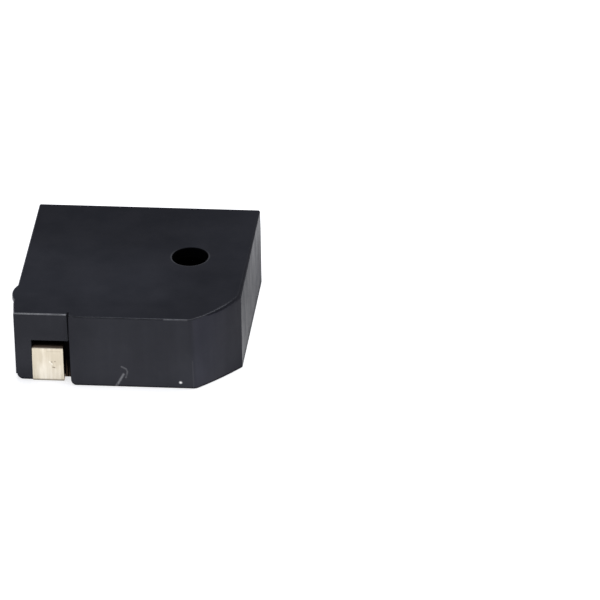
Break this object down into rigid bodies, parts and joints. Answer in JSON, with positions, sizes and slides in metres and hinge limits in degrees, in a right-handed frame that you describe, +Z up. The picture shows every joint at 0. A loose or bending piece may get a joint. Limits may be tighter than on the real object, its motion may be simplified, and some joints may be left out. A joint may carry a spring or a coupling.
{
  "type": "magnetic buzzer",
  "caption": "Low square surface-mount magnetic buzzer: black moulded case with a cut corner, round sound hole and bent tin-plated solder terminals, with coil, magnet and diaphragm inside.",
  "frame": {"origin": "middle of the square case in plan, on the plane of the pads' undersides", "axes": "+Z up through the top face, +X to the right, -Y towards the front wall, whose right end has the cut corner"},
  "size_m": [0.0087, 0.0086, 0.003],
  "materials": {
    "housing": "moulded, fine satin",
    "tin_plate": "tin plated, satin",
    "plated_steel": "plated, dull",
    "soft_iron": "plated, dull",
    "enamelled_copper": "clear enamel",
    "magnet": "sintered, matt",
    "spring_steel": "rolled, bright",
    "solder": "bright, smooth"
  },
  "bodies": {
    "root": {"base": "housing", "cover": "housing", "coil_terminal_front": "tin_plate", "coil_terminal_rear": "tin_plate", "support_terminal": "tin_plate", "yoke_plate": "plated_steel", "pole_core": "soft_iron", "coil_winding": "enamelled_copper", "ring_magnet": "magnet", "diaphragm": "spring_steel", "armature_disc": "soft_iron", "start_lead_wire": "enamelled_copper", "finish_lead_wire": "enamelled_copper", "start_solder_joint": "solder", "finish_solder_joint": "solder"}
  },
  "joints": []
}
